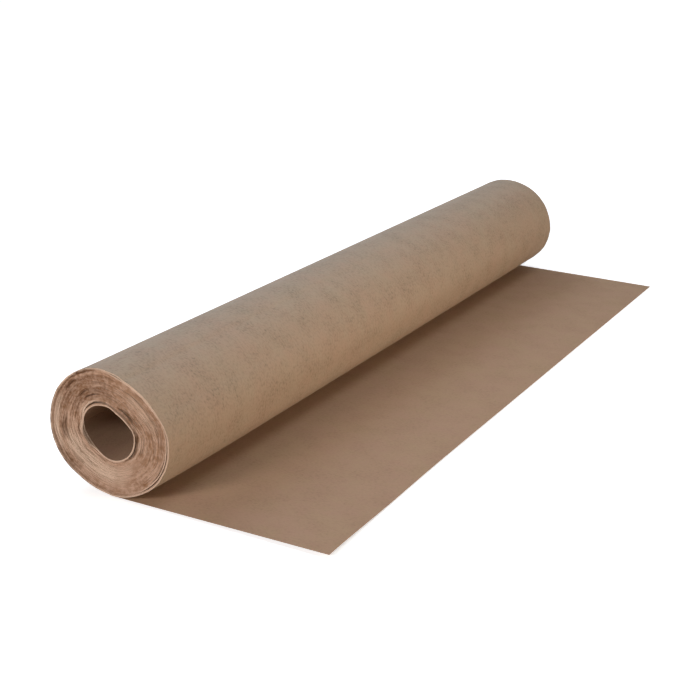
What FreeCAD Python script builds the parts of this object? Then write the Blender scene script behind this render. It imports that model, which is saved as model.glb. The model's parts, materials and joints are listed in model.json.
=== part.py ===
"""A coreless roll of kraft underlayment paper, lying on its loose tail.

The object is one web of paper. Most of it is wound into a roll that is open down the middle, and
the last stretch is pulled out and lies flat on the floor. The roll is turned about its axis, and
the tail is a thin flat sheet that leaves the roll where it touches the floor.

Frame: +Z is up and Z = 0 is the floor. +Y runs along the roll, and the tail lies towards +X.
The origin is on the floor, below the middle of the roll's axis. Sizes are in millimetres.
"""

import FreeCAD, Part
import math
import os

import Sketcher

# Driving dimensions: alias, value, what it measures.
SIZES = [
    ("web_width", 914.4, "width of the paper, which is the roll's length"),
    ("roll_diameter", 125.0, "outside of the wound turns"),
    ("bore_diameter", 50.8, "open middle of the roll"),
    ("paper_thickness", 0.2, "the laminated paper"),
    ("tail_reach_near", 219.0, "roll's axis to the cut end, along the -Y edge"),
    ("tail_reach_far", 215.0, "roll's axis to the cut end, along the +Y edge"),
    ("eye_width", 2.0, "innermost turns, which haven't slipped"),
    ("rim_width", 2.5, "outermost turns, which haven't slipped"),
    ("telescope", 2.0, "how far the packed turns between them have slipped towards +Y"),
    ("ring_step", 0.6, "how much further every second ring of packed turns has slipped"),
]
RINGS = 9  # rings of packed turns that show on each end
WEB_END = "Sizes.web_width / 2"


def make_sizes(doc):
    """Fills the spreadsheet that every feature reads its sizes from."""
    sheet = doc.addObject("Spreadsheet::Sheet", "Sizes")
    for row, (alias, value, meaning) in enumerate(SIZES, start=1):
        sheet.set(f"A{row}", meaning)
        sheet.set(f"B{row}", str(value))
        sheet.setAlias(f"B{row}", alias)
    doc.recompute()
    return sheet


def new_sketch(body, name, role):
    """An empty sketch on one of the body's own origin planes, such as XY_Plane."""
    sketch = body.newObject("Sketcher::SketchObject", name)
    plane = next(f for f in body.Origin.OriginFeatures if f.Role == role)
    sketch.AttachmentSupport = (plane, [""])
    sketch.MapMode = "FlatFace"
    return sketch


def draw_outline(sketch, corners):
    """Draws a closed polygon, with each corner held by an expression for its x and one for its y.

    The corners start on a small circle, and the constraints carry each one to its place. A corner
    whose x expression is None lies on the sketch's vertical axis.
    """
    count = len(corners)
    turns = [2 * math.pi * i / count for i in range(count)]
    start = [FreeCAD.Vector(math.cos(turn), math.sin(turn), 0) for turn in turns]
    for i in range(count):
        sketch.addGeometry(Part.LineSegment(start[i], start[(i + 1) % count]), False)
    for i in range(count):
        sketch.addConstraint(Sketcher.Constraint("Coincident", i, 2, (i + 1) % count, 1))
    for i, (x_expression, y_expression) in enumerate(corners):
        if x_expression is None:
            sketch.addConstraint(Sketcher.Constraint("PointOnObject", i, 1, -2))
        else:
            hold(sketch, "DistanceX", i, start[i].x, x_expression)
        hold(sketch, "DistanceY", i, start[i].y, y_expression)


def hold(sketch, kind, line, distance, expression):
    """Holds the start of a line at a distance from the sketch's origin, and binds that distance."""
    index = sketch.addConstraint(Sketcher.Constraint(kind, -1, 1, line, 1, distance))
    sketch.setExpression(f"Constraints[{index}]", expression)


def end_steps():
    """The end's outline from the bore to the outside, as pairs of a slip and a radius.

    The packed turns between the eye and the rim show as rings, and every second one stands out.
    """
    outside = "Sizes.roll_diameter / 2"
    eye = "(Sizes.bore_diameter / 2 + Sizes.eye_width)"
    rim = f"({outside} - Sizes.rim_width)"
    steps = [("0", "Sizes.bore_diameter / 2"), ("0", eye)]
    for ring in range(RINGS):
        side = "+" if ring % 2 else "-"
        slip = f"Sizes.telescope {side} Sizes.ring_step / 2"
        steps.append((slip, f"{eye} + ({rim} - {eye}) * {ring} / {RINGS}"))
        steps.append((slip, f"{eye} + ({rim} - {eye}) * {ring + 1} / {RINGS}"))
    return steps + [("0", rim), ("0", outside)]


def wound_turns(body):
    """The roll: its half section on the YZ plane, turned about the roll's axis.

    The sketch's horizontal axis is lifted to the roll's axis, so its y is a radius. The packed
    turns have slipped sideways, which leaves a shallow dish in the -Y end and a matching boss on
    the +Y end, because every turn is as wide as the web.
    """
    section = new_sketch(body, "HalfSection", "YZ_Plane")
    section.setExpression(".AttachmentOffset.Base.y", "Sizes.roll_diameter / 2")
    near_end = [(f"-{WEB_END} + {slip}", radius) for slip, radius in end_steps()]
    far_end = [(f"{WEB_END} + {slip}", radius) for slip, radius in reversed(end_steps())]
    draw_outline(section, near_end + far_end)
    turned = body.newObject("PartDesign::Revolution", "WoundTurns")
    turned.Profile = section
    turned.ReferenceAxis = (section, ["H_Axis"])
    turned.Angle = 360
    return turned


def loose_tail(body):
    """The pulled-out stretch: a sheet on the floor, from under the roll to its slightly skewed cut."""
    outline = new_sketch(body, "TailOutline", "XY_Plane")
    draw_outline(outline, [
        (None, f"-{WEB_END}"),
        ("Sizes.tail_reach_near", f"-{WEB_END}"),
        ("Sizes.tail_reach_far", WEB_END),
        (None, WEB_END),
    ])
    sheet = body.newObject("PartDesign::Pad", "LooseTail")
    sheet.Profile = outline
    sheet.setExpression("Length", "Sizes.paper_thickness")
    return sheet


def check(doc, body):
    """Stops the build if an object failed to compute or the body isn't one sound solid."""
    failed = [o.Label for o in doc.Objects if {"Invalid", "Error"} & set(o.State)]
    if failed:
        raise RuntimeError(f"these objects failed: {failed}")
    shape = body.Shape
    if shape.isNull() or not shape.isValid() or len(shape.Solids) != 1:
        raise RuntimeError(f"{body.Label} isn't one valid solid")
    print(f"{body.Label}: {shape.Volume / 1000:.1f} cm3, {shape.BoundBox}")


def main():
    """Builds the document and writes the STEP file of its one sub-part."""
    doc = FreeCAD.newDocument("UnderlaymentPaperRoll")
    make_sizes(doc)
    paper_roll = doc.addObject("PartDesign::Body", "PaperRoll")
    paper_roll.Label = "paper_roll"
    wound_turns(paper_roll)
    doc.recompute()
    paper_roll.Tip = loose_tail(paper_roll)
    doc.recompute()
    check(doc, paper_roll)
    os.makedirs("parts", exist_ok=True)
    paper_roll.Shape.exportStep(f"parts/{paper_roll.Label}.step")


main()
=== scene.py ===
"""The looks of a coreless roll of kraft underlayment paper, lying on its own loose tail.

The whole object is one web of paper. Each mesh here is a stretch of that web: a flat strip, as long
as the stretch, as wide as the web and as thick as the paper, which a geometry node tree rolls up.
The stretches meet end to end, from the free inner end in the bore to the cut end of the tail.

Lengths are in metres and angles in degrees. An angle round the roll is 0 at the foot, 90 on the
tail's side, 180 at the top and 270 on the other side.
"""

import json
import logging
import math
from dataclasses import dataclass
from enum import Enum
from typing import Any, Union

import bpy
from mathutils import Matrix, Vector


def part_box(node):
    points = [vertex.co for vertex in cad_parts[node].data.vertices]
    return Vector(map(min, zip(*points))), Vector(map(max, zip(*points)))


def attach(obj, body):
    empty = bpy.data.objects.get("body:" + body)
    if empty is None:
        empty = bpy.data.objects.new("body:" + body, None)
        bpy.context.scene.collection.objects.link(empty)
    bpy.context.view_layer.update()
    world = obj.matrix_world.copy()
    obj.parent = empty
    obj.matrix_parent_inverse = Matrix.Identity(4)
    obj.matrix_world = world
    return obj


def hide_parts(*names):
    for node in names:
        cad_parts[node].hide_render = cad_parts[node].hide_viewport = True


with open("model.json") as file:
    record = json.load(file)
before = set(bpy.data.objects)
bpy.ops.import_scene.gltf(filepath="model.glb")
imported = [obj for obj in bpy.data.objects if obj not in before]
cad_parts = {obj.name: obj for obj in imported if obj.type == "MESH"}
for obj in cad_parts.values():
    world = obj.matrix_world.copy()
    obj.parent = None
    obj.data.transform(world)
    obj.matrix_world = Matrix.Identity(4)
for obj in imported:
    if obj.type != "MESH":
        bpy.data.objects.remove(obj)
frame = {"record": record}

LOG = logging.getLogger("paper_roll")
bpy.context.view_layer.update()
NODE = "paper_roll"
BODY = "root"
MM = 0.001
Colour = tuple[float, float, float]


class Side(Enum):
    """The sides of the paper, by the node tree's material input for each."""

    OUTER = "Outer face"
    INNER = "Inner face"
    EDGE = "Cut edge"


# ---------------------------------------------------------------- arithmetic on node sockets


@dataclass(frozen=True)
class Field:
    """A value that a node tree works out for each point, which plain arithmetic can use."""

    graph: "Graph"
    socket: bpy.types.NodeSocket

    def __add__(self, other: "Value") -> "Field":
        """This plus the other."""
        return self.graph.math("ADD", self, other)

    def __radd__(self, other: float) -> "Field":
        """The other plus this."""
        return self.graph.math("ADD", other, self)

    def __sub__(self, other: "Value") -> "Field":
        """This less the other."""
        return self.graph.math("SUBTRACT", self, other)

    def __rsub__(self, other: float) -> "Field":
        """The other less this."""
        return self.graph.math("SUBTRACT", other, self)

    def __mul__(self, other: "Value") -> "Field":
        """This times the other."""
        return self.graph.math("MULTIPLY", self, other)

    def __rmul__(self, other: float) -> "Field":
        """The other times this."""
        return self.graph.math("MULTIPLY", other, self)

    def __truediv__(self, other: "Value") -> "Field":
        """This divided by the other."""
        return self.graph.math("DIVIDE", self, other)

    def __pow__(self, other: "Value") -> "Field":
        """This to the power of the other."""
        return self.graph.math("POWER", self, other)

    def sine(self) -> "Field":
        """The sine of this angle, in radians."""
        return self.graph.math("SINE", self)

    def cosine(self) -> "Field":
        """The cosine of this angle, in radians."""
        return self.graph.math("COSINE", self)

    def floor(self) -> "Field":
        """The whole number at or below this."""
        return self.graph.math("FLOOR", self)

    def size(self) -> "Field":
        """This without its sign."""
        return self.graph.math("ABSOLUTE", self)

    def sign(self) -> "Field":
        """1 where this is positive and -1 where it is negative."""
        return self.graph.math("SIGN", self)

    def at_least(self, other: "Value") -> "Field":
        """The larger of this and the other."""
        return self.graph.math("MAXIMUM", self, other)

    def at_most(self, other: "Value") -> "Field":
        """The smaller of this and the other."""
        return self.graph.math("MINIMUM", self, other)

    def over(self, other: "Value") -> "Field":
        """1 where this is larger than the other, else 0."""
        return self.graph.math("GREATER_THAN", self, other)

    def rise(self, low: "Value", high: "Value") -> "Field":
        """A smooth step from 0 at low to 1 at high."""
        settings = {"interpolation_type": "SMOOTHSTEP"}
        node = self.graph.node("ShaderNodeMapRange", {0: self, 1: low, 2: high}, **settings)
        return Field(self.graph, node.outputs[0])


Value = Union[Field, float, int]


@dataclass(frozen=True)
class Graph:
    """A node tree under construction."""

    tree: bpy.types.NodeTree

    def node(self, kind: str, inputs: dict[Any, Any] | None = None, **settings: Any) -> bpy.types.Node:
        """Adds a node.

        Args:
            kind: the node's type.
            inputs: what goes into each input, by the input's name or number.
            settings: the node's own properties.

        Returns:
            The node.
        """
        node = self.tree.nodes.new(kind)
        for name, value in settings.items():
            setattr(node, name, value)
        for key, value in (inputs or {}).items():
            self.feed(node.inputs[key], value)
        return node

    def feed(self, socket: bpy.types.NodeSocket, value: Any) -> None:
        """Links a field, a socket or a node's first output to an input, or sets it to a constant.

        Args:
            socket: the input.
            value: what goes into it.
        """
        if isinstance(value, Field):
            self.tree.links.new(value.socket, socket)
        elif isinstance(value, bpy.types.NodeSocket):
            self.tree.links.new(value, socket)
        elif isinstance(value, bpy.types.Node):
            self.tree.links.new(value.outputs[0], socket)
        else:
            socket.default_value = value

    def math(self, operation: str, *values: Value) -> Field:
        """The result of one Math node on up to three values."""
        node = self.node("ShaderNodeMath", dict(enumerate(values)), operation=operation)
        return Field(self, node.outputs[0])

    def vector(self, x: Value, y: Value, z: Value) -> Field:
        """A vector made of three values."""
        return Field(self, self.node("ShaderNodeCombineXYZ", {0: x, 1: y, 2: z}).outputs[0])

    def parts(self, vector: Any) -> tuple[Field, Field, Field]:
        """The three values in a vector.

        Args:
            vector: a field, a socket or a node that puts out a vector.

        Returns:
            The x, y and z fields.
        """
        node = self.node("ShaderNodeSeparateXYZ", {0: vector})
        x, y, z = (Field(self, output) for output in node.outputs)
        return x, y, z

    def noise(self, place: Value, seed: Value, detail: float = 2.0, rough: float = 0.5) -> Field:
        """Smooth noise that runs from about -1 to 1, with one wave to each unit of place.

        Args:
            place: the vector to read the noise at.
            seed: picks one noise from many.
            detail: how many finer octaves are added.
            rough: how strong each finer octave is.

        Returns:
            The noise.
        """
        inputs = {"Vector": place, "W": seed, "Scale": 1.0, "Detail": detail, "Roughness": rough}
        node = self.node("ShaderNodeTexNoise", inputs, noise_dimensions="4D")
        return Field(self, node.outputs[0]) * 2.0 - 1.0

    def curve(self, value: Field, points: list[tuple[float, float]]) -> Field:
        """A smooth curve through points, read at the value.

        Args:
            value: where to read the curve, from 0 at its first point to 1 at its last.
            points: the curve's points, which run from 0 to 1, with heights from -1 to 1.

        Returns:
            The curve's height there.
        """
        node = self.node("ShaderNodeFloatCurve", {"Value": value})
        node.mapping.use_clip = False
        line = node.mapping.curves[0]
        line.points[0].location, line.points[1].location = points[0], points[-1]
        for point in points[1:-1]:
            line.points.new(*point)
        node.mapping.update()
        return Field(self, node.outputs[0])

    def blend(self, factor: Value, first: Any, second: Any) -> Field:
        """Mixes two colours.

        Args:
            factor: 0 for the first colour and 1 for the second.
            first: a colour, or a field or socket that puts one out.
            second: the other colour, given in the same way.

        Returns:
            The mixed colour.
        """
        pair = [(*c, 1.0) if isinstance(c, tuple) else c for c in (first, second)]
        node = self.node("ShaderNodeMix", {0: factor, 6: pair[0], 7: pair[1]}, data_type="RGBA")
        return Field(self, node.outputs[2])

    def between(self, factor: Value, first: Value, second: Value) -> Field:
        """The first number where the factor is 0, and the second where it is 1."""
        node = self.node("ShaderNodeMix", {0: factor, 2: first, 3: second}, data_type="FLOAT")
        return Field(self, node.outputs[0])

    def use(self, group: bpy.types.NodeTree, **inputs: Any) -> dict[str, Field]:
        """Places a node group.

        Args:
            group: the group's tree.
            inputs: what goes into each input, named in lower case with underscores.

        Returns:
            The group's outputs by name.
        """
        kind = "ShaderNodeGroup" if group.bl_idname == "ShaderNodeTree" else "GeometryNodeGroup"
        named = {name.replace("_", " ").capitalize(): value for name, value in inputs.items()}
        node = self.node(kind, node_tree=group)
        for name, value in named.items():
            self.feed(node.inputs[name], value)
        return {output.name: Field(self, output) for output in node.outputs}


def new_group(
    name: str, kind: str, inputs: dict[str, Any], outputs: dict[str, str],
) -> tuple[Graph, dict[str, Field], bpy.types.Node]:
    """Starts a node group.

    Args:
        name: the group's name.
        kind: its tree type.
        inputs: for each input, its kind of socket, or a pair of that and a default value.
        outputs: for each output, its kind of socket.

    Returns:
        The graph, its inputs by name, and its output node.
    """
    tree = bpy.data.node_groups.new(name, kind)
    for label, spec in inputs.items():
        socket_kind, default = spec if isinstance(spec, tuple) else (spec, None)
        socket = tree.interface.new_socket(label, in_out="INPUT", socket_type="NodeSocket" + socket_kind)
        if default is not None:
            socket.default_value = default
    for label, socket_kind in outputs.items():
        tree.interface.new_socket(label, in_out="OUTPUT", socket_type="NodeSocket" + socket_kind)
    graph = Graph(tree)
    entry = graph.node("NodeGroupInput")
    sources = {output.name: Field(graph, output) for output in entry.outputs if output.name}
    return graph, sources, graph.node("NodeGroupOutput")


# ---------------------------------------------------------------- sizes and shape


@dataclass(frozen=True)
class RollSize:
    """The sizes of the roll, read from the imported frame."""

    web_width: float
    bore_radius: float
    outside_radius: float
    tail_near: float
    tail_skew: float = 4 * MM
    corner_pull: float = 4.0 * MM
    thickness: float = 0.2 * MM
    turns: int = 160
    swell: float = 1.03
    telescope: float = 1.8 * MM
    sag: float = 2.3 * MM
    seed: float = 4.0

    @classmethod
    def from_frame(cls) -> "RollSize":
        """Reads the sizes from the bore mount and from the node's box.

        Returns:
            The sizes, with the rest at their defaults.
        """
        bore = next(mount for mount in frame["record"]["mounts"] if mount["name"] == "bore")
        _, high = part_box(NODE)
        return cls(
            web_width=bore["dims"]["length_mm"] * MM,
            bore_radius=bore["dims"]["r_mm"] * MM,
            outside_radius=bore["pos_m"][2],
            tail_near=high[0],
        )

    @property
    def turn_length(self) -> float:
        """The length of the outermost turn."""
        return math.tau * self.outside_radius

    @property
    def tail_turns(self) -> float:
        """The tail's length, counted in outermost turns."""
        return self.tail_near / self.turn_length


@dataclass(frozen=True)
class Looseness:
    """How the paper strays from a tight and even winding.

    Lengths are in metres. A pair is where an effect starts and where it is full. The corner and the
    lifted edge are shares of the web's width, and the sag is an angle round the roll, on both sides.
    """

    wander: float = 0.35 * MM
    flare: float = 0.9 * MM
    flare_reach: float = 22 * MM
    sag_angle: float = 40.0
    sag_half_width: float = 39.0
    coarse_slip: float = 1.3 * MM
    fine_slip: float = 0.7 * MM
    eye_band: tuple[float, float] = (1.5 * MM, 3.2 * MM)
    rim_band: tuple[float, float] = (1.2 * MM, 3.6 * MM)
    corner_share: float = 0.25
    edge_share: float = 0.15
    edge_lift: float = 2.4 * MM
    tail_wave: float = 0.5 * MM


@dataclass(frozen=True)
class Outline:
    """How far the turns at one end of the roll stand out from a circle, in millimetres.

    Each curve runs smoothly through points that are pairs of an angle and a distance.
    """

    bore: list[tuple[float, float]]
    rim: list[tuple[float, float]]


@dataclass(frozen=True)
class Gap:
    """A crescent gap between two turns: the turns outside it are pushed outwards.

    A gap closes again towards the outside of the roll, unless it lifts all the turns outside it.
    """

    radius: float
    angle: float
    half_width: float
    opening: float
    lifts_all: bool = False


NEAR_OUTLINE = Outline(
    bore=[
        (0, -0.3), (20, 0.6), (45, 0.9), (75, 0.9), (100, 0.6), (115, -1.1), (130, -2.6), (150, -3.3),
        (165, -2.3), (180, -0.3), (200, 1.2), (220, 2.5), (240, 2.7), (255, 1.9), (270, 0.2),
        (285, -1.6), (300, -3.0), (315, -3.5), (330, -3.0), (345, -1.6), (360, -0.3),
    ],
    rim=[
        (0, -1.0), (15, -0.8), (40, -1.2), (75, -1.2), (102, -1.2), (120, -3.8), (140, -5.4),
        (155, -5.7), (170, -4.6), (185, -1.8), (200, -0.6), (225, 0.0), (255, 0.6), (285, 1.0),
        (300, 0.4), (315, -1.0), (330, -2.3), (345, -2.2), (360, -1.0),
    ],
)
FAR_OUTLINE = Outline(
    bore=[(0, -0.3), (60, 0.8), (130, -0.9), (200, 0.9), (270, 0.3), (320, -1.2), (360, -0.3)],
    rim=[(0, 0.0), (90, -0.4), (150, -0.8), (220, 0.2), (300, -0.5), (360, 0.0)],
)
NEAR_GAPS = [
    Gap(25.70 * MM, 292, 36, 1.3 * MM),
    Gap(25.93 * MM, 288, 27, 1.2 * MM),
    Gap(26.40 * MM, 296, 24, 0.9 * MM),
    Gap(27.10 * MM, 74, 38, 1.2 * MM),
    Gap(27.90 * MM, 214, 34, 1.2 * MM),
    Gap(30.80 * MM, 140, 22, 1.2 * MM),
    Gap(28.60 * MM, 318, 18, 0.7 * MM),
    Gap(30.60 * MM, 340, 16, 0.5 * MM),
    Gap(31.60 * MM, 78, 20, 0.6 * MM),
    Gap(31.40 * MM, 276, 10, 0.7 * MM),
    Gap(34.40 * MM, 317, 14, 0.5 * MM),
    Gap(35.20 * MM, 210, 15, 0.6 * MM),
    Gap(40.60 * MM, 219, 8, 0.6 * MM),
    Gap(46.00 * MM, 272, 11, 0.5 * MM),
    Gap(49.00 * MM, 279, 10, 0.5 * MM),
    Gap(55.40 * MM, 227, 8, 0.6 * MM),
    Gap(58.20 * MM, 64, 19, 0.7 * MM),
    Gap(60.20 * MM, 72, 44, 1.0 * MM, lifts_all=True),
    Gap(61.20 * MM, 171, 9, 0.7 * MM, lifts_all=True),
]
FAR_GAPS = [
    Gap(26.4 * MM, 120, 60, 1.8 * MM),
    Gap(27.6 * MM, 250, 40, 1.2 * MM),
    Gap(33.0 * MM, 30, 26, 0.7 * MM),
    Gap(41.0 * MM, 200, 12, 0.8 * MM),
    Gap(52.0 * MM, 310, 14, 0.6 * MM),
    Gap(60.6 * MM, 75, 30, 0.7 * MM, lifts_all=True),
]


def window_group() -> bpy.types.NodeTree:
    """Makes a node group that is 1 near an angle and falls smoothly to 0 at a half width from it.

    Returns:
        The group's tree.
    """
    inputs = {"Cosine": "Float", "Sine": "Float", "Angle": "Float", "Half width": "Float"}
    outputs = {"Weight": "Float"}
    graph, given, result = new_group("Stretch round the roll", "GeometryNodeTree", inputs, outputs)
    centre = given["Angle"] * math.radians(1)
    width = given["Half width"] * math.radians(1)
    closeness = given["Cosine"] * centre.cosine() + given["Sine"] * centre.sine()
    weight = closeness.rise(width.cosine(), (width * 0.35).cosine())
    graph.feed(result.inputs[0], weight)
    return graph.tree


def gap_group(window: bpy.types.NodeTree) -> bpy.types.NodeTree:
    """Makes a node group that says how far a crescent gap pushes a turn outwards.

    Args:
        window: the node group for a stretch round the roll.

    Returns:
        The group's tree.
    """
    inputs = {
        "Turn radius": "Float", "Outside radius": "Float", "Cosine": "Float", "Sine": "Float",
        "Gap radius": "Float", "Angle": "Float", "Half width": "Float",
        "Opening": "Float", "Closes outwards": "Float",
    }
    graph, given, result = new_group("Gap between turns", "GeometryNodeTree", inputs, {"Push": "Float"})
    placed = {name: given[name.capitalize()] for name in ("cosine", "sine", "angle")}
    weight = graph.use(window, half_width=given["Half width"], **placed)["Weight"]
    past = given["Turn radius"] - given["Gap radius"]
    step = past.rise(0.0, 0.2 * MM)
    room = given["Outside radius"] - given["Gap radius"]
    closing = 1.0 - given["Closes outwards"] * (past / room)
    graph.feed(result.inputs[0], given["Opening"] * weight * step * closing)
    return graph.tree


class WebTree:
    """The node tree that rolls a flat strip of paper up into a stretch of the web."""

    INPUTS = {
        "First turn": ("Float", 0.0), "Last turn": ("Float", 1.0),
        "Steps along": ("Int", 96), "Steps across": ("Int", 1), "Crowding": ("Float", 1.0),
        "Turns": ("Int", 160), "Thickness": ("Float", 0.0002), "Web width": ("Float", 0.9),
        "Bore radius": ("Float", 0.025), "Outside radius": ("Float", 0.06), "Swell": ("Float", 1.0),
        "Tail turns": ("Float", 0.5), "Tail near": ("Float", 0.2), "Tail far": ("Float", 0.2),
        "Corner pull": ("Float", 0.0), "Turn length": ("Float", 0.4),
        "Telescope": ("Float", 0.002), "Sag": ("Float", 0.0), "Seed": ("Float", 1.0),
        **{side.value: "Material" for side in Side},
    }

    def __init__(self, loose: Looseness) -> None:
        """Builds the tree.

        Args:
            loose: how the paper strays from a tight winding.
        """
        self.loose = loose
        self.window = window_group()
        self.gap = gap_group(self.window)
        kinds = {"Geometry": "Geometry"}
        graph, given, result = new_group("Paper web", "GeometryNodeTree", self.INPUTS, kinds)
        self.graph, self.given = graph, given
        strip = graph.node("GeometryNodeMeshCube", {
            "Vertices X": given["Steps along"] + 1, "Vertices Y": given["Steps across"] + 1, "Vertices Z": 2,
        })
        facing = graph.node("GeometryNodeCaptureAttribute", {0: strip}, domain="FACE")
        facing.capture_items.new("VECTOR", "Facing")
        graph.feed(facing.inputs[1], graph.node("GeometryNodeInputNormal"))
        place, web, ring = self.lay()
        stored = facing.outputs[0]
        for name, value in (("web", web), ("ring", ring)):
            inputs = {"Geometry": stored, "Name": name, "Value": value}
            settings = {"data_type": "FLOAT_VECTOR", "domain": "POINT"}
            stored = graph.node("GeometryNodeStoreNamedAttribute", inputs, **settings).outputs[0]
        rolled = graph.node("GeometryNodeSetPosition", {"Geometry": stored, "Position": place})
        real = graph.node("GeometryNodeRealizeInstances", {0: rolled})
        _, _, upward = graph.parts(facing.outputs[1])
        dressed = graph.node("GeometryNodeSetMaterial", {0: real, "Material": given[Side.EDGE.value]})
        for side, selection in ((Side.INNER, upward.over(0.5)), (Side.OUTER, (0.0 - upward).over(0.5))):
            inputs = {0: dressed, "Selection": selection, "Material": given[side.value]}
            dressed = graph.node("GeometryNodeSetMaterial", inputs)
        graph.feed(result.inputs[0], dressed)

    @property
    def tree(self) -> bpy.types.NodeTree:
        """The finished tree."""
        return self.graph.tree

    def lay(self) -> tuple[Field, Field, Field]:
        """Works out where each point of the strip goes.

        Returns:
            The point's place, its place on the unrolled web, and its radius, cosine and sine in the roll.
        """
        graph, given = self.graph, self.given
        along, sideways, depth = graph.parts(graph.node("GeometryNodeInputPosition"))
        turn = given["First turn"] + (given["Last turn"] - given["First turn"]) * (along + 0.5)
        depth = depth + 0.5
        spread = 1.0 - (1.0 - (sideways * 2.0).size()).at_least(0.0) ** given["Crowding"]
        across = sideways.sign() * spread * 0.5
        wound = turn.at_most(given["Turns"])
        angle = (wound - wound.floor()) * math.tau
        cosine, sine = angle.cosine(), angle.sine()
        share = wound / given["Turns"]
        first_radius = given["Bore radius"] + given["Thickness"]
        radius = first_radius + (given["Outside radius"] - first_radius) * share
        ring = graph.vector(radius, cosine, sine)
        web = graph.vector(turn * given["Turn length"], across * given["Web width"], depth)

        tail = (turn - given["Turns"]).at_least(0.0) / given["Tail turns"]
        bulge = self.bulge(wound, radius, cosine, sine, share, across) * (1.0 - tail.rise(0.2, 1.0) * 0.5)
        reach = radius + bulge - depth * given["Thickness"]
        from_corner = 1.0 - (across + 0.5) / self.loose.corner_share
        pulled = from_corner.at_least(0.0) ** 1.5 * given["Corner pull"]
        tail_end = graph.between(across + 0.5, given["Tail near"], given["Tail far"]) + pulled
        x = reach * given["Swell"] * sine + tail * tail_end
        y = across * given["Web width"] + self.slip(radius, cosine, sine, share)
        z = (given["Outside radius"] - reach * cosine) / given["Swell"] + self.lift(tail, across)
        return graph.vector(x, y, z), web, ring

    def bulge(
        self, wound: Field, radius: Field, cosine: Field, sine: Field, share: Field, across: Field,
    ) -> Field:
        """How far each point stands out from an even spiral.

        Args:
            wound: which turn the point is in, counted from the bore, and the last one for the tail.
            radius: the even spiral's radius there.
            cosine: the cosine of the angle round the roll.
            sine: the sine of that angle.
            share: 0 at the bore and 1 at the outside.
            across: -0.5 at the near end and 0.5 at the far end.

        Returns:
            The distance, outwards.
        """
        graph, given, loose = self.graph, self.given, self.loose
        near = self.gaps(NEAR_GAPS, radius, cosine, sine) + self.outline(NEAR_OUTLINE, wound, share)
        far = self.gaps(FAR_GAPS, radius, cosine, sine) + self.outline(FAR_OUTLINE, wound, share)
        wander_place = graph.vector(radius * (1 / (4 * MM)), cosine * 1.6, sine * 1.6)
        wander = graph.noise(wander_place, given["Seed"] + 7.0) * loose.wander
        wander = wander * share.rise(0.0, 0.2) * (1.0 - share.rise(0.9, 1.0))
        from_end = (0.5 - across.size()) * given["Web width"]
        flare_place = graph.vector(cosine * 5.0, sine * 5.0, across * 2.0)
        flare = (graph.noise(flare_place, given["Seed"] + 3.0) + 0.3).at_least(0.0) * loose.flare
        flare = flare * share.rise(0.93, 0.99) * (1.0 - from_end.rise(0.0, loose.flare_reach))
        off_foot = 1.0 - cosine.rise(0.6, 0.95)
        beside_foot = graph.use(
            self.window, cosine=cosine, sine=sine.size(),
            angle=loose.sag_angle, half_width=loose.sag_half_width,
        )
        middle = 1.0 - (across.size() * 2.0) ** 8.0
        sag = beside_foot["Weight"] * middle * share * given["Sag"] * (0.65 - across * 0.7)
        return near * (0.5 - across) + far * (0.5 + across) + wander + flare * off_foot + sag

    def outline(self, outline: Outline, wound: Field, share: Field) -> Field:
        """How far a turn stands out from a circle, which changes evenly from the bore to the rim.

        Args:
            outline: the outline of one end of the roll.
            wound: which turn the point is in.
            share: 0 at the bore and 1 at the outside.

        Returns:
            The distance, outwards.
        """
        round_it = wound - wound.floor()
        reach = 10 * MM
        bore, rim = (
            self.graph.curve(round_it, [(angle / 360, distance * MM / reach) for angle, distance in points])
            for points in (outline.bore, outline.rim)
        )
        return self.graph.between(share, bore, rim) * reach

    def gaps(self, gaps: list[Gap], radius: Field, cosine: Field, sine: Field) -> Field:
        """The outward push of all the gaps at one end of the roll.

        Args:
            gaps: the gaps.
            radius: the even spiral's radius.
            cosine: the cosine of the angle round the roll.
            sine: the sine of that angle.

        Returns:
            The distance, outwards.
        """
        pushes = [
            self.graph.use(
                self.gap, turn_radius=radius, outside_radius=self.given["Outside radius"],
                cosine=cosine, sine=sine, gap_radius=gap.radius, angle=gap.angle,
                half_width=gap.half_width, opening=gap.opening, closes_outwards=1.0 - gap.lifts_all,
            )["Push"]
            for gap in gaps
        ]
        total = pushes[0]
        for push in pushes[1:]:
            total = total + push
        return total

    def slip(self, radius: Field, cosine: Field, sine: Field, share: Field) -> Field:
        """How far each turn has slipped along the roll, evenly in places and raggedly in others.

        Args:
            radius: the even spiral's radius.
            cosine: the cosine of the angle round the roll.
            sine: the sine of that angle.
            share: 0 at the bore and 1 at the outside.

        Returns:
            The distance, towards the far end.
        """
        graph, given, loose = self.graph, self.given, self.loose
        start, full = loose.eye_band
        packed = radius.rise(given["Bore radius"] + start, given["Bore radius"] + full)
        rim = given["Outside radius"] - radius
        packed = packed * rim.rise(*loose.rim_band)
        coarse_place = graph.vector(radius * (1 / (2.6 * MM)), cosine * 1.3, sine * 1.3)
        fine_place = graph.vector(radius * (1 / (0.9 * MM)), cosine * 3.2, sine * 3.2)
        coarse = graph.noise(coarse_place, given["Seed"]) * loose.coarse_slip
        fine = graph.noise(fine_place, given["Seed"] + 1.0, detail=1.0) * loose.fine_slip
        ragged = 0.25 + packed * 0.75
        settled = 1.0 - share.rise(0.985, 1.0)
        return packed * given["Telescope"] + (coarse + fine) * ragged * settled

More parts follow.
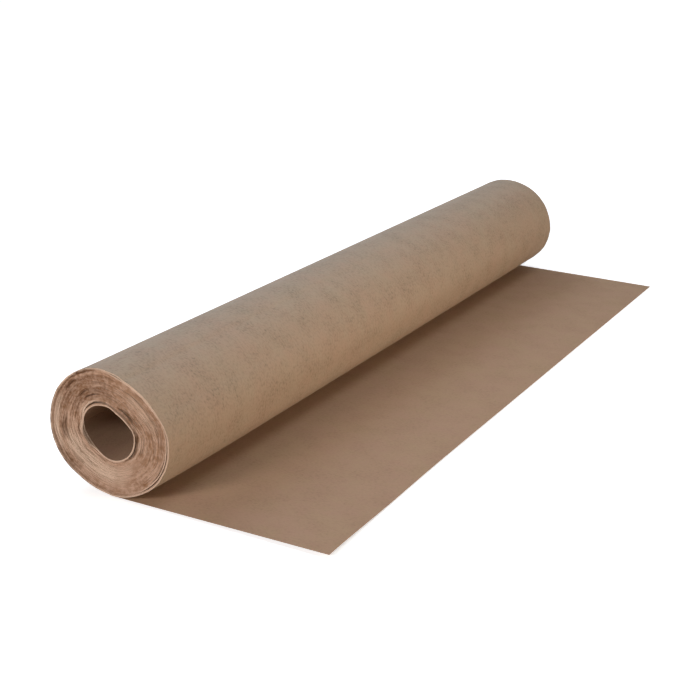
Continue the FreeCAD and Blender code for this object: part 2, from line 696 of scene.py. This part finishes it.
    def lift(self, tail: Field, across: Field) -> Field:
        """How far the loose tail stands off the floor: a little, and most at its near corner.

        Args:
            tail: 0 at the roll's foot and 1 at the cut end.
            across: -0.5 at the near edge and 0.5 at the far edge.

        Returns:
            The height.
        """
        graph, given, loose = self.graph, self.given, self.loose
        place = graph.vector(tail * 1.6, across * 5.0, 0.0)
        wave = (graph.noise(place, given["Seed"] + 5.0, detail=1.0) + 0.5).at_least(0.0)
        near_edge = 1.0 - (across + 0.5).rise(0.0, loose.edge_share)
        return tail.rise(0.25, 1.0) * wave * loose.tail_wave + tail * near_edge * loose.edge_lift


@dataclass(frozen=True)
class Stretch:
    """One stretch of the web, which becomes one mesh.

    The steps are the mesh's quads for each turn and across the web, which the crowding gathers
    towards the two edges. The crease is the sharpest angle, in degrees, that is shaded smooth.
    """

    name: str
    first_turn: float
    last_turn: float
    steps_per_turn: int
    steps_across: int = 1
    crowding: float = 1.0
    crease: float = 35.0

    def build(self, tree: WebTree, size: RollSize, faces: dict[Side, bpy.types.Material]) -> bpy.types.Object:
        """Rolls the stretch up and makes it a plain mesh.

        Args:
            tree: the node tree that does the rolling.
            size: the sizes of the roll.
            faces: the material for each side of the paper.

        Returns:
            The finished piece.
        """
        values = {
            "First turn": self.first_turn, "Last turn": self.last_turn,
            "Steps along": round((self.last_turn - self.first_turn) * self.steps_per_turn),
            "Steps across": self.steps_across, "Crowding": self.crowding,
            "Turns": size.turns, "Thickness": size.thickness, "Web width": size.web_width,
            "Bore radius": size.bore_radius, "Outside radius": size.outside_radius,
            "Swell": size.swell, "Tail turns": size.tail_turns, "Tail near": size.tail_near,
            "Tail far": size.tail_near - size.tail_skew, "Corner pull": size.corner_pull,
            "Turn length": size.turn_length, "Telescope": size.telescope,
            "Sag": size.sag, "Seed": size.seed,
            **{side.value: material for side, material in faces.items()},
        }
        holder = bpy.data.objects.new(self.name, bpy.data.meshes.new(self.name + "_strip"))
        bpy.context.scene.collection.objects.link(holder)
        modifier = holder.modifiers.new("Paper web", "NODES")
        modifier.node_group = tree.tree
        for item in tree.tree.interface.items_tree:
            if item.in_out == "INPUT" and item.name in values:
                modifier[item.identifier] = values[item.name]
        evaluated = holder.evaluated_get(bpy.context.evaluated_depsgraph_get())
        mesh = bpy.data.meshes.new_from_object(evaluated)
        mesh.name = self.name
        holder.modifiers.clear()
        holder.data = mesh
        mesh.shade_smooth()
        mesh.set_sharp_from_angle(angle=math.radians(self.crease))
        return holder


# ---------------------------------------------------------------- finishes


def new_material(name: str, roughness: float) -> tuple[bpy.types.Material, Graph, bpy.types.Node]:
    """Starts a material with a plain Principled shader.

    Args:
        name: the material's name.
        roughness: the shader's roughness.

    Returns:
        The material, its graph and its shader node.
    """
    material = bpy.data.materials.new(name)
    material.use_nodes = True
    graph = Graph(material.node_tree)
    graph.tree.nodes.clear()
    shader = graph.node("ShaderNodeBsdfPrincipled", {"Roughness": roughness})
    graph.node("ShaderNodeOutputMaterial", {"Surface": shader})
    return material, graph, shader


def pulp_group() -> bpy.types.NodeTree:
    """Makes a shader node group for paper pulp: soft tints and clouds, flecks, specks and fibres.

    Returns:
        The group's tree.
    """
    inputs = {"Place": "Vector", "Seed": "Float"}
    kinds = ("Tint", "Cloud", "Flecks", "Specks", "Relief")
    outputs = {kind: "Float" for kind in kinds}
    graph, given, result = new_group("Kraft pulp", "ShaderNodeTree", inputs, outputs)
    along, across, layer = graph.parts(given["Place"])

    def pattern(length: float, breadth: float, shift: float, detail: float = 2.0) -> Field:
        """Noise with waves of this length along the web and this breadth across it."""
        place = graph.vector(along * (1 / length), across * (1 / breadth), layer)
        return graph.noise(place, given["Seed"] + shift, detail=detail)

    broad = pattern(60 * MM, 46 * MM, 0.0, detail=1.0)
    soft = pattern(13 * MM, 11 * MM, 1.0)
    graph.feed(result.inputs["Tint"], (broad * 0.5 + soft * 0.5).rise(-0.4, 0.4))
    cloud = pattern(30 * MM, 26 * MM, 6.0)
    graph.feed(result.inputs["Cloud"], cloud.rise(-0.35, 0.45))
    streaks = pattern(5.0 * MM, 2.6 * MM, 2.0)
    graph.feed(result.inputs["Flecks"], streaks.rise(-0.1, 0.5))
    specks = pattern(2.7 * MM, 2.1 * MM, 3.0, detail=1.0)
    graph.feed(result.inputs["Specks"], specks.rise(-0.1, 0.5))
    fibres = pattern(2.2 * MM, 0.22 * MM, 4.0)
    lumps = pattern(1.1 * MM, 0.8 * MM, 5.0)
    graph.feed(result.inputs["Relief"], fibres * 0.5 + lumps * 0.5)
    return graph.tree


@dataclass(frozen=True)
class PaperFace:
    """The finish of one face of the web."""

    name: str
    ground: Colour
    blush: Colour
    fleck: Colour
    fleck_strength: float
    roughness: float
    relief: float
    seed: float

    def build(self, pulp: bpy.types.NodeTree) -> bpy.types.Material:
        """Makes the material.

        Args:
            pulp: the shared node group for the paper's pulp.

        Returns:
            The material.
        """
        material, graph, shader = new_material(self.name, self.roughness)
        place = graph.node("ShaderNodeAttribute", attribute_name="web").outputs["Vector"]
        kraft = graph.use(pulp, place=place, seed=self.seed)
        colour = graph.blend(kraft["Tint"], self.ground, self.blush)
        density = kraft["Cloud"] * 0.6 + 0.45
        marks = kraft["Flecks"] * 0.5 + kraft["Specks"] * 0.6 + kraft["Cloud"] * 0.12
        colour = graph.blend(marks * density * self.fleck_strength, colour, self.fleck)
        graph.feed(shader.inputs["Base Color"], colour)
        graph.feed(shader.inputs["Roughness"], kraft["Cloud"] * 0.05 + self.roughness)
        bump = {"Strength": self.relief, "Distance": 0.15 * MM, "Height": kraft["Relief"]}
        graph.feed(shader.inputs["Normal"], graph.node("ShaderNodeBump", bump))
        return material


@dataclass(frozen=True)
class Patch:
    """A patch on the near end: a ring's radius, an angle round it, and the patch's reach each way."""

    radius: float
    angle: float
    height: float
    half_width: float
    strength: float


# Darker patches on the near end. The spots over the gaps between turns are painted shade along those gaps,
# and the thin band at 62.4 mm on the left side is painted shade along the rim; the others darken the end in
# broad patches.
PAINTED_SHADE_AND_DARK_PATCHES = [
    Patch(41.0 * MM, 219, 4.0 * MM, 19, 1.0),
    Patch(55.8 * MM, 227, 4.0 * MM, 16, 1.0),
    Patch(35.6 * MM, 210, 2.8 * MM, 30, 0.85),
    Patch(48.0 * MM, 275, 9.0 * MM, 20, 0.6),
    Patch(57.0 * MM, 312, 5.0 * MM, 17, 0.6),
    Patch(50.0 * MM, 313, 5.0 * MM, 14, 0.4),
    Patch(40.5 * MM, 309, 2.2 * MM, 18, 0.65),
    Patch(42.7 * MM, 328, 2.0 * MM, 15, 0.6),
    Patch(31.6 * MM, 140, 2.8 * MM, 34, 0.95),
    Patch(27.6 * MM, 75, 1.0 * MM, 54, 0.6),
    Patch(28.4 * MM, 208, 1.0 * MM, 38, 0.45),
    Patch(60.3 * MM, 207, 3.0 * MM, 20, 0.8),
    Patch(58.6 * MM, 246, 4.0 * MM, 24, 0.45),
    Patch(50.0 * MM, 220, 15.0 * MM, 62, 0.56),
    Patch(38.0 * MM, 214, 13.0 * MM, 62, 0.62),
    Patch(31.8 * MM, 276, 2.0 * MM, 18, 0.6),
    Patch(36.0 * MM, 283, 2.0 * MM, 14, 0.5),
    # Painted shade: a thin dark band along the rim on the left side.
    Patch(62.4 * MM, 292, 1.1 * MM, 84, 0.9),
]
# Paler patches on the near end. The thin bands at the rim (60.6 and 59.4 mm) and at the bore (29.2 and 29.8
# mm) are painted highlights where the plies catch light; the others are broad paler patches.
PAINTED_HIGHLIGHT_AND_PALE_PATCHES = [
    Patch(42.0 * MM, 328, 17.0 * MM, 76, 0.85),
    Patch(47.0 * MM, 297, 10.0 * MM, 18, 0.6),
    Patch(48.0 * MM, 130, 11.0 * MM, 42, 0.5),
    Patch(36.0 * MM, 10, 10.0 * MM, 60, 0.4),
    Patch(60.6 * MM, 145, 3.4 * MM, 52, 0.8),
    Patch(59.4 * MM, 70, 1.6 * MM, 60, 0.8),
    Patch(57.0 * MM, 270, 6.0 * MM, 40, 0.75),
    Patch(29.2 * MM, 244, 2.4 * MM, 60, 0.9),
    Patch(29.8 * MM, 75, 1.6 * MM, 60, 0.6),
]


def patch_group() -> bpy.types.NodeTree:
    """Makes a shader node group that is 1 in the middle of a patch on the roll's end and 0 outside.

    Returns:
        The group's tree.
    """
    inputs = {
        "Radius": "Float", "Cosine": "Float", "Sine": "Float", "Patch radius": "Float",
        "Angle": "Float", "Height": "Float", "Half width": "Float",
    }
    graph, given, result = new_group("Patch on the end", "ShaderNodeTree", inputs, {"Weight": "Float"})
    centre = given["Angle"] * math.radians(1)
    closeness = given["Cosine"] * centre.cosine() + given["Sine"] * centre.sine()
    round_it = closeness.rise((given["Half width"] * math.radians(1)).cosine(), 1.0)
    off = (given["Radius"] - given["Patch radius"]).size() / given["Height"]
    graph.feed(result.inputs[0], round_it * (1.0 - off.rise(0.1, 1.0)))
    return graph.tree


@dataclass(frozen=True)
class CutEdge:
    """The finish of the web's trimmed edges, which make up the roll's two ends.

    The pale side is an angle round the roll. The bore and rim highlights are painted highlights, paler
    bands at the bore and the rim where the plies catch light, each as the widths where it starts to fade
    and where it has faded.
    """

    name: str
    pale: Colour
    brown: Colour
    dark_tone_and_shade: Colour
    pale_tone_and_highlight: Colour
    pale_side: float
    roughness: float
    seed: float
    bore_highlight: tuple[float, float] = (1.0 * MM, 2.0 * MM)
    rim_highlight: tuple[float, float] = (1.0 * MM, 1.9 * MM)

    def build(
        self, pulp: bpy.types.NodeTree, patch: bpy.types.NodeTree, size: RollSize,
    ) -> bpy.types.Material:
        """Makes the material.

        Args:
            pulp: the shared node group for the paper's pulp.
            patch: the node group for one patch.
            size: the sizes of the roll.

        Returns:
            The material.
        """
        material, graph, shader = new_material(self.name, self.roughness)
        ring = graph.node("ShaderNodeAttribute", attribute_name="ring").outputs["Vector"]
        web = graph.node("ShaderNodeAttribute", attribute_name="web").outputs["Vector"]
        radius, cosine, sine = graph.parts(ring)

        def rings(spacing: float, turns: float, shift: float) -> Field:
            """Noise in rings this far apart, with this many waves round a radian."""
            place = graph.vector(radius * (1 / spacing), cosine * turns, sine * turns)
            return graph.noise(place, self.seed + shift)

        def blotches(width: float, shift: float) -> Field:
            """Noise in round blotches of this width."""
            reach = radius * (1 / width)
            return graph.noise(graph.vector(reach * cosine, reach * sine, 0.0), self.seed + shift)

        side = math.radians(self.pale_side)
        toward_pale = cosine * math.cos(side) + sine * math.sin(side)
        layers, fine = rings(2.4 * MM, 2.8, 0.0), rings(0.7 * MM, 5.0, 1.0)
        wide, grain = blotches(10 * MM, 2.0), blotches(3.0 * MM, 3.0)
        texture = layers * 0.4 + fine * 0.2 + grain * 0.6
        shade = texture * 1.1 + wide * 0.8 - toward_pale * 0.14 + 0.44
        colour = graph.blend(shade.rise(0.0, 1.0), self.pale, self.brown)

        drift = blotches(6 * MM, 4.0) * 0.10
        warped = {
            "radius": radius + blotches(5 * MM, 5.0) * (2.4 * MM),
            "cosine": cosine - sine * drift,
            "sine": sine + cosine * drift,
        }
        along, across, _ = graph.parts(web)
        at_near_end = 1.0 - across.over(0.0)
        on_tail = along.rise(size.turns * size.turn_length, (size.turns + 0.2) * size.turn_length)
        inward = radius - size.bore_radius
        outward = size.outside_radius - radius
        # Painted highlight: paler bands on the plies next to the bore and next to the rim, where they catch
        # light.
        highlight_bands = (1.0 - inward.rise(*self.bore_highlight)) + (1.0 - outward.rise(*self.rim_highlight))
        colour = graph.blend(highlight_bands * (fine * 0.5 + 0.75), colour, self.pale_tone_and_highlight)
        # On the near end, the painted highlights and paler patches go on first, then the painted shade and
        # darker patches.
        for patches, paint in ((PAINTED_HIGHLIGHT_AND_PALE_PATCHES, self.pale_tone_and_highlight), (PAINTED_SHADE_AND_DARK_PATCHES, self.dark_tone_and_shade)):
            total = None
            for spot in patches:
                weight = graph.use(
                    patch, patch_radius=spot.radius, angle=spot.angle, height=spot.height,
                    half_width=spot.half_width, **warped,
                )["Weight"] * spot.strength
                total = weight if total is None else total.at_least(weight)
            ragged = (total * 1.4 + texture * 0.9 - 0.3) * total.rise(0.0, 0.3) * at_near_end
            colour = graph.blend(ragged.at_most(0.95).at_least(0.0), colour, paint)
        colour = graph.blend(on_tail, colour, self.brown)
        graph.feed(shader.inputs["Base Color"], colour)
        kraft = graph.use(pulp, place=web, seed=self.seed)
        bump = {"Strength": 0.5, "Distance": 0.15 * MM, "Height": kraft["Relief"] + fine}
        graph.feed(shader.inputs["Normal"], graph.node("ShaderNodeBump", bump))
        return material


def paper_finishes(size: RollSize) -> dict[Side, bpy.types.Material]:
    """Makes the material of each side of the paper.

    Args:
        size: the sizes of the roll.

    Returns:
        The materials.
    """
    pulp, patch = pulp_group(), patch_group()
    outer = PaperFace(
        "kraft_outer_face", (0.385, 0.302, 0.224), (0.400, 0.289, 0.216), (0.145, 0.118, 0.085),
        fleck_strength=0.72, roughness=0.82, relief=0.35, seed=11.0,
    )
    inner = PaperFace(
        "kraft_inner_face", (0.362, 0.240, 0.146), (0.366, 0.225, 0.150), (0.160, 0.098, 0.056),
        fleck_strength=0.42, roughness=0.80, relief=0.30, seed=23.0,
    )
    # The cut edge's colours: pale, brown, the dark colour of the painted shade and darker patches, and the
    # pale colour of the painted highlights, paler patches and highlight bands.
    edge = CutEdge(
        "kraft_cut_edge", (0.610, 0.415, 0.300), (0.328, 0.174, 0.090), (0.140, 0.060, 0.022),
        (0.760, 0.585, 0.445), pale_side=325.0, roughness=0.85, seed=31.0,
    )
    return {
        Side.OUTER: outer.build(pulp),
        Side.INNER: inner.build(pulp),
        Side.EDGE: edge.build(pulp, patch, size),
    }


# ---------------------------------------------------------------- the roll


@dataclass(frozen=True)
class PaperRoll:
    """The whole web, as stretches that meet end to end."""

    size: RollSize
    loose: Looseness = Looseness()
    free_end: float = -0.28
    bore_turns: int = 12
    rim_turns: int = 10

    def stretches(self) -> list[Stretch]:
        """Divides the web.

        Returns:
            The stretches, from the bore outwards.
        """
        last = self.size.turns
        rim = last - self.rim_turns
        middle = (self.bore_turns + rim) // 2
        end = last + self.size.tail_turns
        return [
            Stretch("bore_turns", self.free_end, self.bore_turns, 144, 4, crowding=4.0),
            Stretch("packed_inner_turns", self.bore_turns, middle, 120),
            Stretch("packed_outer_turns", middle, rim, 144),
            Stretch("rim_turns", rim, last - 1, 180, 6, crowding=4.0),
            Stretch("outer_turn_and_tail", last - 1, end, 200, 130),
        ]

    def build(self) -> list[bpy.types.Object]:
        """Makes the pieces and hands them to the frame.

        Returns:
            The pieces.
        """
        tree = WebTree(self.loose)
        faces = paper_finishes(self.size)
        pieces = []
        for stretch in self.stretches():
            piece = stretch.build(tree, self.size, faces)
            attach(piece, BODY)
            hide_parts(NODE)
            triangles = sum(len(face.vertices) - 2 for face in piece.data.polygons)
            LOG.info("%s: %d triangles", piece.name, triangles)
            pieces.append(piece)
        return pieces


# ---------------------------------------------------------------- the stage


@dataclass(frozen=True)
class Viewpoint:
    """Where the camera stands, in metres and degrees, and its lens in millimetres."""

    place: tuple[float, float, float] = (0.7075, -1.3444, 0.5382)
    azimuth: float = 27.95
    elevation: float = 19.43
    tilt: float = 1.64
    lens: float = 71.08

    def build(self) -> None:
        """Makes the camera and makes it the scene's."""
        azimuth, elevation = math.radians(self.azimuth), math.radians(self.elevation)
        ahead = Vector((
            -math.sin(azimuth) * math.cos(elevation),
            math.cos(azimuth) * math.cos(elevation),
            -math.sin(elevation),
        ))
        right = Vector((math.cos(azimuth), math.sin(azimuth), 0.0))
        right.rotate(Matrix.Rotation(math.radians(-self.tilt), 3, ahead))
        up = right.cross(ahead)
        camera = bpy.data.objects.new("camera", bpy.data.cameras.new("camera"))
        camera.data.lens = self.lens
        camera.data.sensor_width = 36.0
        turn = Matrix((right, up, -ahead)).transposed().to_4x4()
        camera.matrix_world = Matrix.Translation(self.place) @ turn
        bpy.context.scene.collection.objects.link(camera)
        bpy.context.scene.camera = camera


@dataclass(frozen=True)
class Lamp:
    """A square area lamp that points at the middle of the roll."""

    name: str
    place: tuple[float, float, float]
    side: float
    power: float
    colour: Colour = (1.0, 1.0, 1.0)

    def build(self, target: Vector) -> None:
        """Makes the lamp.

        Args:
            target: the point that it faces.
        """
        data = bpy.data.lights.new(self.name, "AREA")
        data.shape = "SQUARE"
        data.size = self.side
        data.energy = self.power
        data.color = self.colour
        lamp = bpy.data.objects.new(self.name, data)
        lamp.location = self.place
        lamp.rotation_euler = (target - Vector(self.place)).to_track_quat("-Z", "Y").to_euler()
        bpy.context.scene.collection.objects.link(lamp)


@dataclass(frozen=True)
class Studio:
    """A pale floor under a faint even sky, with four soft lamps.

    The floor is lifted to white more where it is far from the object than where it is near, and the
    lift reach is where that change starts and ends.
    """

    sky: float = 0.03
    sky_colour: Colour = (0.95, 0.97, 1.0)
    floor_side: float = 60.0
    floor_colour: Colour = (0.90, 0.90, 0.90)
    floor_bounce: Colour = (0.50, 0.40, 0.30)
    floor_drop: float = 0.3 * MM
    lift_near: float = 0.62
    lift_far: float = 1.0
    lift_reach: tuple[float, float] = (0.55, 1.3)
    aim: tuple[float, float, float] = (0.06, 0.0, 0.05)
    lamps: tuple[Lamp, ...] = (
        Lamp("soft_overhead", (0.6, 0.0, 1.9), 0.8, 9.8, (0.88, 0.96, 1.0)),
        Lamp("cool_back", (-1.2, 0.6, 1.4), 0.8, 15.5, (0.77, 0.88, 1.0)),
        Lamp("warm_side", (1.4, -0.1, 0.3), 0.6, 11.2, (1.0, 0.79, 0.58)),
        Lamp("soft_front", (-0.25, -2.2, 0.92), 0.5, 26.8, (1.0, 0.93, 0.92)),
    )

    def build(self) -> None:
        """Makes the sky, the floor and the lamps, and sets how colours are shown."""
        bpy.context.scene.view_settings.view_transform = "Standard"
        self.make_sky()
        self.make_floor()
        for lamp in self.lamps:
            lamp.build(Vector(self.aim))

    def seen(self, graph: Graph) -> Field:
        """Tells the rays that show a surface from those that only light others.

        Args:
            graph: the material's or the world's graph.

        Returns:
            1 for rays from the camera, and for those that reflect or pass through, else 0.
        """
        paths = graph.node("ShaderNodeLightPath").outputs
        kinds = ("Is Camera Ray", "Is Glossy Ray", "Is Transmission Ray")
        camera, glossy, passing = (Field(graph, paths[kind]) for kind in kinds)
        return camera.at_least(glossy).at_least(passing)

    def make_sky(self) -> None:
        """An even sky, which is plain white where it is seen."""
        world = bpy.data.worlds.new("sky")
        bpy.context.scene.world = world
        world.use_nodes = True
        graph = Graph(world.node_tree)
        graph.tree.nodes.clear()
        seen = self.seen(graph)
        colour = graph.blend(seen, self.sky_colour, (1.0, 1.0, 1.0))
        strength = graph.between(seen, self.sky, 1.0)
        sky = graph.node("ShaderNodeBackground", {"Color": colour, "Strength": strength})
        graph.node("ShaderNodeOutputWorld", {"Surface": sky})

    def make_floor(self) -> None:
        """A pale floor that keeps the roll's shadow, and is lifted to white where it is seen."""
        half = self.floor_side / 2
        mesh = bpy.data.meshes.new("floor")
        corners = [(-half, -half), (half, -half), (half, half), (-half, half)]
        mesh.from_pydata([(x, y, -self.floor_drop) for x, y in corners], [], [(0, 1, 2, 3)])
        floor = bpy.data.objects.new("floor", mesh)
        bpy.context.scene.collection.objects.link(floor)
        material, graph, shader = new_material("pale_floor", 0.9)
        seen = self.seen(graph)
        graph.feed(shader.inputs["Base Color"], graph.blend(seen, self.floor_bounce, self.floor_colour))
        shader.inputs["Specular IOR Level"].default_value = 0.0
        x, y, _ = graph.parts(graph.node("ShaderNodeTexCoord").outputs["Object"])
        distance = (x * x + y * y) ** 0.5
        lift = graph.between(distance.rise(*self.lift_reach), self.lift_near, self.lift_far) * seen
        graph.feed(shader.inputs["Emission Color"], graph.vector(lift, lift, lift))
        shader.inputs["Emission Strength"].default_value = 1.0
        mesh.materials.append(material)


def main() -> None:
    """Builds the roll and its stage."""
    logging.basicConfig(level=logging.INFO, format="%(name)s: %(message)s")
    Viewpoint().build()
    PaperRoll(RollSize.from_frame()).build()
    Studio().build()


if __name__ == "__main__":
    main()
